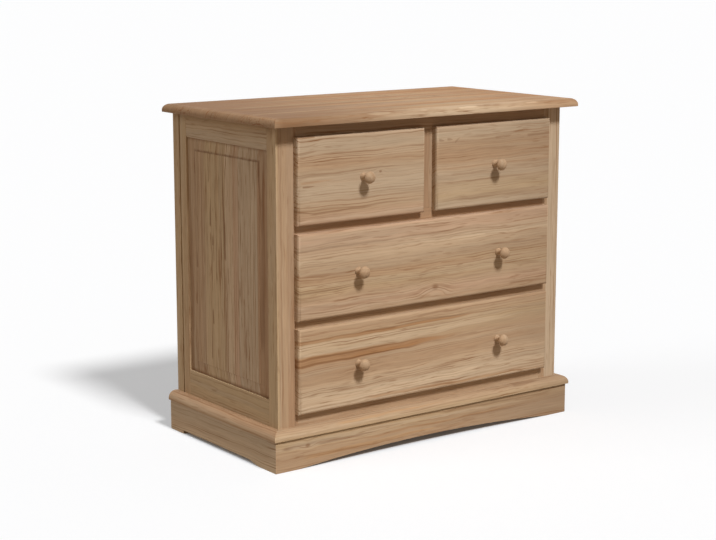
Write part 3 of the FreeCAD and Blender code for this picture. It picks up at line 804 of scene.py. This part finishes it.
def add_screw(mesh, points):
    """A pan-head screw with a cross recess, its head towards +Y, where a plain one of these points is."""
    low = Vector([min(point[axis] for point in points) for axis in range(3)])
    high = Vector([max(point[axis] for point in points) for axis in range(3)])
    centre = (low + high) / 2
    head = (high.x - low.x) / 2
    distance = {tuple(point): math.hypot(point.x - centre.x, point.z - centre.z) for point in points}
    under_head = min(point.y for point in points if distance[tuple(point)] > HEAD_ONLY * head)
    shank = max(distance[tuple(point)] for point in points if point.y < low.y + WELD)
    thickness = high.y - under_head
    profile = [(low.y, shank * POINT_RADIUS), (low.y + shank * POINT_LENGTH, shank), (under_head, shank)]
    for below, share in HEAD_PROFILE:
        profile.append((high.y - thickness * below, head * share))
    turns = []
    for step in range(SCREW_FACETS):
        angle = math.tau * step / SCREW_FACETS
        turns.append((math.cos(angle), math.sin(angle)))
    rings = []
    for depth, radius in profile:
        rings.append(add_ring(mesh, [(radius * x, radius * z) for x, z in turns], centre, depth))
    for (first, _), (second, _) in zip(rings, rings[1:]):
        join_rings(mesh, first, second)
    mesh.faces.new(rings[0][0])
    outline = cross_outline(head * RECESS_ARM, head * RECESS_HALF_WIDTH)
    mouth, mouth_edges = add_ring(mesh, outline, centre, high.y)
    narrow = [(across * RECESS_TAPER, up * RECESS_TAPER) for across, up in outline]
    floor, _ = add_ring(mesh, narrow, centre, high.y - thickness * RECESS_DEPTH)
    bmesh.ops.triangle_fill(mesh, edges=rings[-1][1] + mouth_edges, use_beauty=True, use_dissolve=False)
    join_rings(mesh, mouth, floor)
    mesh.faces.new(floor)


def screws(node):
    """The screws of one node, each with its own head and recess."""
    plain = welded(node)
    mesh = bmesh.new()
    for points in separate_solids(plain):
        add_screw(mesh, points)
    plain.free()
    bmesh.ops.recalc_face_normals(mesh, faces=mesh.faces)
    return stand_for(node, mesh, "_cross_recessed")


def finished(piece, material):
    piece.data.materials.clear()
    piece.data.materials.append(material)


# Painted shade: the drawer fronts and the front moulding are a little darker to the right, where the light
# falls off.
RIGHT_FALLOFF_SHADE = Stain(0.52, 0.08, "driftwood", 0.38)

# The drawer fronts, as the photograph shows their bands, streaks and knots.
BOARDS = {
    "upper_left_drawer_front": Board(
        FRONT_CUT,
        [Band(26, "rose"), Band(14, "tan"), Band(60, "ash"),
         Band(20, "ash"), Band(56, "tan"), Band(45, "ash")],
        slope=0.01,
        streaks=[
            Streak(-0.445, 0.659, -0.36, 0.648, 0.006, "umber", 0.50),
            Streak(-0.378, 0.648, -0.16, 0.655, 0.006, "umber", 0.55),
            Streak(-0.26, 0.656, 0.0, 0.660, 0.005, "umber", 0.35),
            Streak(-0.44, 0.638, -0.20, 0.642, 0.010, "chestnut", 0.40),
            Streak(-0.405, 0.718, -0.365, 0.719, 0.006, "umber", 0.6),
            Streak(-0.41, 0.728, -0.30, 0.731, 0.007, "honey", 0.35),
            Streak(-0.42, 0.742, -0.05, 0.752, 0.005, "umber", 0.30),
            Streak(-0.43, 0.799, -0.36, 0.803, 0.007, "umber", 0.35),
            Streak(-0.43, 0.786, -0.39, 0.789, 0.006, "umber", 0.30),
            Streak(-0.36, 0.765, -0.02, 0.775, 0.018, "russet", 0.40),
        ],
        knots=[Knot(-0.165, 0.739, 0.004)],
        stains_and_shade=[RIGHT_FALLOFF_SHADE],
    ),
    "upper_right_drawer_front": Board(
        FRONT_CUT,
        [Band(30, "ash"), Band(35, "straw"), Band(40, "ash"),
         Band(46, "tan"), Band(30, "tan"), Band(40, "ash")],
        slope=0.01,
        streaks=[
            Streak(0.02, 0.762, 0.43, 0.755, 0.050, "russet", 0.45),
            Streak(0.026, 0.806, 0.046, 0.802, 0.010, "umber", 0.50),
            Streak(0.054, 0.806, 0.074, 0.804, 0.009, "umber", 0.45),
            Streak(0.080, 0.796, 0.100, 0.810, 0.008, "umber", 0.35),
            Streak(0.220, 0.801, 0.256, 0.805, 0.008, "chestnut", 0.6),
            Streak(0.335, 0.799, 0.44, 0.801, 0.010, "umber", 0.40),
            Streak(0.07, 0.712, 0.22, 0.717, 0.006, "chestnut", 0.45),
            Streak(0.03, 0.645, 0.43, 0.658, 0.010, "chestnut", 0.35),
            Streak(0.09, 0.641, 0.40, 0.652, 0.006, "chestnut", 0.35),
        ],
        stains_and_shade=[RIGHT_FALLOFF_SHADE],
    ),
    "middle_drawer_front": Board(
        FRONT_CUT,
        [Band(20, "tan"), Band(30, "rose"), Band(50, "straw"),
         Band(50, "tan"), Band(24, "pale"), Band(47, "rose")],
        slope=0.012,
        sway=0.02,
        streaks=[
            Streak(-0.445, 0.483, 0.30, 0.478, 0.030, "russet", 0.55),
            Streak(-0.445, 0.5560, 0.02, 0.5650, 0.006, "umber", 0.40),
            Streak(-0.445, 0.5640, -0.15, 0.5790, 0.005, "umber", 0.30),
            Streak(-0.08, 0.568, 0.45, 0.552, 0.012, "chestnut", 0.40),
            Streak(-0.445, 0.449, -0.22, 0.455, 0.006, "umber", 0.35),
            Streak(-0.445, 0.439, -0.26, 0.441, 0.006, "umber", 0.30),
            Streak(-0.41, 0.416, -0.12, 0.395, 0.008, "chestnut", 0.40),
            Streak(0.22, 0.512, 0.45, 0.509, 0.006, "umber", 0.40),
            Streak(0.255, 0.458, 0.40, 0.450, 0.010, "umber", 0.30),
            Streak(0.28, 0.398, 0.45, 0.396, 0.008, "umber", 0.45),
            Streak(-0.06, 0.445, 0.28, 0.442, 0.008, "chestnut", 0.35),
            Streak(-0.445, 0.590, 0.20, 0.592, 0.010, "pale", 0.50),
        ],
        knots=[Knot(0.018, 0.419, 0.011)],
        stains_and_shade=[RIGHT_FALLOFF_SHADE],
    ),
    "lower_drawer_front": Board(
        FRONT_CUT,
        [Band(16, "pale"), Band(40, "pale"), Band(70, "tan"),
         Band(20, "tan"), Band(40, "straw"), Band(31, "tan")],
        slope=0.015,
        streaks=[
            Streak(-0.46, 0.301, 0.35, 0.310, 0.040, "pale", 0.80),
            Streak(-0.46, 0.2725, 0.14, 0.281, 0.032, "honey", 0.85),
            Streak(-0.46, 0.279, 0.02, 0.287, 0.007, "umber", 0.70),
            Streak(-0.46, 0.263, -0.04, 0.270, 0.008, "umber", 0.70),
            Streak(-0.46, 0.322, 0.24, 0.331, 0.012, "honey", 0.70),
            Streak(-0.46, 0.326, 0.10, 0.334, 0.005, "umber", 0.45),
            Streak(-0.10, 0.338, 0.44, 0.324, 0.006, "umber", 0.40),
            Streak(-0.20, 0.153, 0.44, 0.146, 0.010, "honey", 0.55),
            Streak(-0.44, 0.215, 0.30, 0.228, 0.012, "chestnut", 0.30),
            Streak(-0.30, 0.185, 0.40, 0.190, 0.008, "chestnut", 0.30),
        ],
        stains_and_shade=[RIGHT_FALLOFF_SHADE],
    ),
}


# Boards by lot: how uneven their bands are, how far their grain slopes either way, and the lots' own seed.
BAND_UNEVEN = 0.3
LOT_SLOPE = 0.02
LOT_SEED = 4


def by_lot(cut, count, tones, lots, **changes):
    """A board whose bands have widths and tones drawn by lot."""
    bands = [Band(lots.uniform(1 - BAND_UNEVEN, 1 + BAND_UNEVEN), lots.choice(tones)) for _ in range(count)]
    return Board(cut, bands, slope=lots.uniform(-LOT_SLOPE, LOT_SLOPE), **changes)


# The other boards that show on the closed chest, and then the bare wood inside it.
BARE_TONES = ("cream", "butter")
lots = random.Random(LOT_SEED)

BOARDS["top_board"] = Board(
    TOP_CUT,
    [Band(24, "pale"), Band(30, "amber"), Band(22, "amber"), Band(34, "straw"), Band(26, "honey"),
     Band(30, "amber"), Band(36, "russet"), Band(24, "straw"), Band(30, "amber"), Band(20, "honey"),
     Band(34, "straw"), Band(28, "amber"), Band(40, "honey"), Band(26, "straw"), Band(32, "amber"),
     Band(24, "honey"), Band(40, "amber"), Band(39, "russet")],
    lines=2.1,
    streaks=[
        Streak(-0.48, -0.13, 0.10, -0.12, 0.016, "straw", 0.60),
        Streak(-0.46, -0.06, 0.30, -0.05, 0.020, "umber", 0.45),
        Streak(-0.42, 0.04, 0.20, 0.05, 0.018, "straw", 0.55),
        Streak(-0.36, 0.13, 0.36, 0.14, 0.022, "umber", 0.45),
        Streak(-0.20, -0.17, 0.46, -0.16, 0.012, "umber", 0.40),
    ],
    stains_and_shade=[
        Stain(-0.52, 0.14, "walnut", 0.92),
        Stain(0.50, 0.10, "honey", 0.45),
        Stain(-0.502, -0.470, "tan", 0.40),
    ],
)
for rail in ("top", "upper", "lower", "bottom"):
    BOARDS[f"front_{rail}_rail"] = by_lot(FRONT_CUT, 2, ("tan", "russet"), lots)
BOARDS["front_divider"] = Board(UPRIGHT_CUT, [Band(30, "russet"), Band(24, "russet")])
BOARDS["plinth_front"] = Board(
    FRONT_CUT,
    [Band(30, "tan"), Band(24, "tan"), Band(26, "straw")],
    streaks=[
        Streak(-0.470, 0.059, -0.27, 0.066, 0.009, "umber", 0.60),
        Streak(-0.36, 0.055, -0.14, 0.060, 0.007, "umber", 0.45),
        Streak(-0.45, 0.062, 0.05, 0.068, 0.022, "ash", 0.60),
        Streak(-0.40, 0.027, 0.10, 0.036, 0.014, "amber", 0.60),
        Streak(-0.20, 0.046, 0.35, 0.052, 0.008, "honey", 0.50),
        Streak(0.00, 0.064, 0.40, 0.060, 0.010, "ash", 0.60),
        Streak(0.05, 0.072, 0.46, 0.070, 0.006, "umber", 0.40),
        Streak(0.10, 0.048, 0.40, 0.044, 0.006, "umber", 0.35),
    ],
    knots=[Knot(-0.396, 0.059, 0.006)],
    # Painted shade: darker to the right, where the light falls off.
    stains_and_shade=[Stain(0.50, -0.05, "driftwood", 0.55)],
)
BOARDS["moulding_front"] = Board(
    FRONT_CUT,
    [Band(10, "straw"), Band(12, "tan")],
    lines=1.3,
    streaks=[
        Streak(-0.30, 0.100, 0.10, 0.104, 0.006, "amber", 0.60),
        Streak(-0.10, 0.094, 0.35, 0.097, 0.004, "umber", 0.35),
        Streak(0.30, 0.103, 0.40, 0.104, 0.008, "umber", 0.50),
    ],
    stains_and_shade=[RIGHT_FALLOFF_SHADE],
)
BOARDS["left_front_post"] = Board(
    UPRIGHT_CUT,
    [Band(6, "straw"), Band(26, "tan"), Band(28, "russet")],
    glued=True,
)
BOARDS["right_front_post"] = Board(UPRIGHT_CUT, [Band(20, "tan"), Band(40, "ash")], glued=True)
for side in ("left", "right"):
    BOARDS[f"{side}_side_panel"] = Board(
        SIDE_UPRIGHT_CUT,
        [Band(55, "russet"), Band(40, "ash"), Band(48, "ash"), Band(25, "rose"),
         Band(39, "pale"), Band(100, "straw"), Band(94, "tan")],
        glued=True,
        lines=1.5,
        field=Field(-0.138, 0.1655, 0.208, 0.775),
        # Painted shade: the panel darkens in its corners at the foot and under the head, where it meets the
        # rails.
        stains_and_shade=[Stain(0.175, 0.188, "umber", 0.75), Stain(0.808, 0.797, "umber", 0.5)],
        streaks=[
            # The first two streaks are painted shade along the panel's front and rear edges, beside the post
            # and the stile.
            Streak(0.30, -0.147, 0.84, -0.158, 0.022, "umber", 0.50),
            Streak(0.10, 0.2010, 0.84, 0.1950, 0.022, "umber", 0.55),
            Streak(0.20, 0.024, 0.66, 0.030, 0.014, "chestnut", 0.50),
            Streak(0.505, 0.0225, 0.62, 0.026, 0.012, "umber", 0.85),
            Streak(0.58, 0.026, 0.84, 0.035, 0.007, "umber", 0.75),
            Streak(0.585, 0.093, 0.67, 0.0886, 0.008, "umber", 0.75),
            Streak(0.535, 0.0836, 0.565, 0.083, 0.010, "umber", 0.60),
            Streak(0.465, 0.160, 0.515, 0.161, 0.008, "umber", 0.65),
            Streak(0.365, 0.168, 0.430, 0.168, 0.008, "umber", 0.75),
            Streak(0.325, 0.081, 0.370, 0.084, 0.008, "umber", 0.70),
            Streak(0.230, 0.091, 0.335, 0.088, 0.006, "umber", 0.60),
            Streak(0.715, 0.169, 0.785, 0.165, 0.010, "umber", 0.50),
            Streak(0.180, 0.169, 0.275, 0.1666, 0.006, "umber", 0.60),
            Streak(0.700, 0.098, 0.800, 0.098, 0.007, "umber", 0.50),
            Streak(0.240, 0.130, 0.700, 0.134, 0.010, "chestnut", 0.45),
            Streak(0.330, 0.188, 0.760, 0.186, 0.009, "chestnut", 0.45),
        ],
    )
    for node in (f"{side}_rear_stile", f"{side}_rear_post"):
        BOARDS[node] = by_lot(SIDE_UPRIGHT_CUT, 1, ("tan", "straw"), lots)
    BOARDS[f"{side}_side_top_rail"] = by_lot(SIDE_CUT, 2, ("straw", "ash"), lots)
    BOARDS[f"{side}_side_bottom_rail"] = by_lot(SIDE_CUT, 2, ("tan", "straw"), lots)
    BOARDS[f"moulding_{side}"] = by_lot(SIDE_CUT, 2, ("tan", "russet"), lots)
    BOARDS[f"plinth_{side}"] = by_lot(SIDE_CUT, 2, ("ash", "pale"), lots)

BOARDS["back_rails"] = by_lot(FRONT_CUT, 3, BARE_TONES, lots)
BOARDS["centre_runner"] = by_lot(SIDE_CUT, 1, BARE_TONES, lots)
BOARDS["top_cleats"] = by_lot(SIDE_CUT, 1, BARE_TONES, lots)
BOARDS["left_runners"] = by_lot(SIDE_CUT, 3, BARE_TONES, lots)
BOARDS["right_runners"] = by_lot(SIDE_CUT, 3, BARE_TONES, lots)
for drawer in DRAWERS:
    for side in ("left", "right"):
        BOARDS[f"{drawer}_{side}_side"] = by_lot(SIDE_CUT, 3, BARE_TONES, lots)
    BOARDS[f"{drawer}_back"] = by_lot(FRONT_CUT, 3, BARE_TONES, lots)

# The knobs, turned with their grain from front to back.
for node, slot in SLOTS.items():
    if slot == "turned_pine":
        BOARDS[node] = by_lot(TURNED_CUT, 1, ("tan",), lots, ring=0.003, lines=0.6)

# Solids that touch along an edge would weld into one, so these keep their own mesh.
AS_SAWN = ("left_runners", "right_runners", "centre_runner", "top_cleats")
# How far apart two nodes' patterns are seeded.
SEED_STEP = 3.7

for number, (node, slot) in enumerate(sorted(SLOTS.items())):
    seed = number * SEED_STEP
    if slot == "zinc_steel":
        finished(screws(node), zinc_plate(node, seed))
    elif slot == "plywood":
        cut = UPRIGHT_CUT if node == "back_panel" else TOP_CUT
        finished(eased(node, BOX_ARRIS), plywood(node, cut, seed))
    elif node in AS_SAWN:
        finished(frame["nodes"][node], pine(node, BOARDS[node], seed))
    else:
        arris = BOX_ARRIS if slot == "bare_pine" else WAXED_ARRIS
        finished(eased(node, arris), pine(node, BOARDS[node], seed))


def make_camera():
    data = bpy.data.cameras.new("photo_camera")
    data.sensor_fit = "HORIZONTAL"
    data.sensor_width = SENSOR_WIDTH
    data.lens = FOCAL_PIXELS * SENSOR_WIDTH / PHOTO_WIDTH
    data.clip_end = VIEW_REACH
    camera = bpy.data.objects.new("photo_camera", data)
    camera.location = CAMERA_PLACE
    camera.rotation_euler = Euler((math.radians(CAMERA_LEVEL - CAMERA_DROP), 0, math.radians(CAMERA_TURN)))
    bpy.context.scene.collection.objects.link(camera)
    bpy.context.scene.camera = camera


def make_lamp(name, lamp):
    """A lamp at a height and a bearing: 0 is straight in front, and to the right is more."""
    data = bpy.data.lights.new(name, "SUN")
    data.energy = lamp.strength
    data.angle = math.radians(lamp.spread)
    data.color = lamp.colour
    height, bearing = math.radians(lamp.height), math.radians(lamp.bearing)
    level = math.cos(height)
    towards = Vector((math.sin(bearing) * level, -math.cos(bearing) * level, math.sin(height)))
    light = bpy.data.objects.new(name, data)
    light.location = towards * LAMP_DISTANCE
    light.rotation_euler = (-towards).to_track_quat("-Z", "Y").to_euler()
    bpy.context.scene.collection.objects.link(light)


def seen_share(finish):
    """1 for what the camera sees, straight or by a reflection, and 0 for light that falls on the chest."""
    path = finish.node("ShaderNodeLightPath", output="Is Camera Ray")
    return path.larger(path.beside("Is Glossy Ray")).larger(path.beside("Is Transmission Ray"))


def make_world():
    """A dim, warm light from all round, and plain white wherever the camera sees past the floor."""
    finish = Finish(bpy.data.worlds.new("studio"), "Background")
    colour = finish.blend(seen_share(finish), ROOM_LIGHT, WHITE)
    bpy.context.scene.world = finish.surface({"Color": colour})


def make_floor():
    """A pale floor that keeps the chest's shadow, and whose glow is painted darker close under the chest."""
    mesh = bmesh.new()
    bmesh.ops.create_grid(mesh, x_segments=1, y_segments=1, size=FLOOR_REACH)
    data = bpy.data.meshes.new("floor")
    mesh.to_mesh(data)
    mesh.free()
    floor = bpy.data.objects.new("floor", data)
    bpy.context.scene.collection.objects.link(floor)
    finish = Finish(bpy.data.materials.new("pale_floor"))
    seen = seen_share(finish)
    # Painted shade: ambient occlusion dims the floor's glow close under the chest.
    openness = finish.node("ShaderNodeAmbientOcclusion", (), {"Distance": CONTACT_SHADE}, output="AO")
    clear = finish.ease(openness, CONTACT_DARK, CONTACT_CLEAR)
    data.materials.append(finish.surface({
        "Base Color": finish.blend(seen, FLOOR_BOUNCE, FLOOR_SEEN),
        "Emission Color": finish.blend(seen, BLACK, finish.blend(clear, UNDER_GLOW, FLOOR_GLOW)),
        "Emission Strength": 1.0,
        "Roughness": FLOOR_ROUGH,
        "Specular IOR Level": 0.0,
    }))


make_camera()
make_lamp("key", KEY)
make_lamp("fill", FILL)
make_world()
make_floor()
bpy.context.scene.view_settings.view_transform = "Standard"
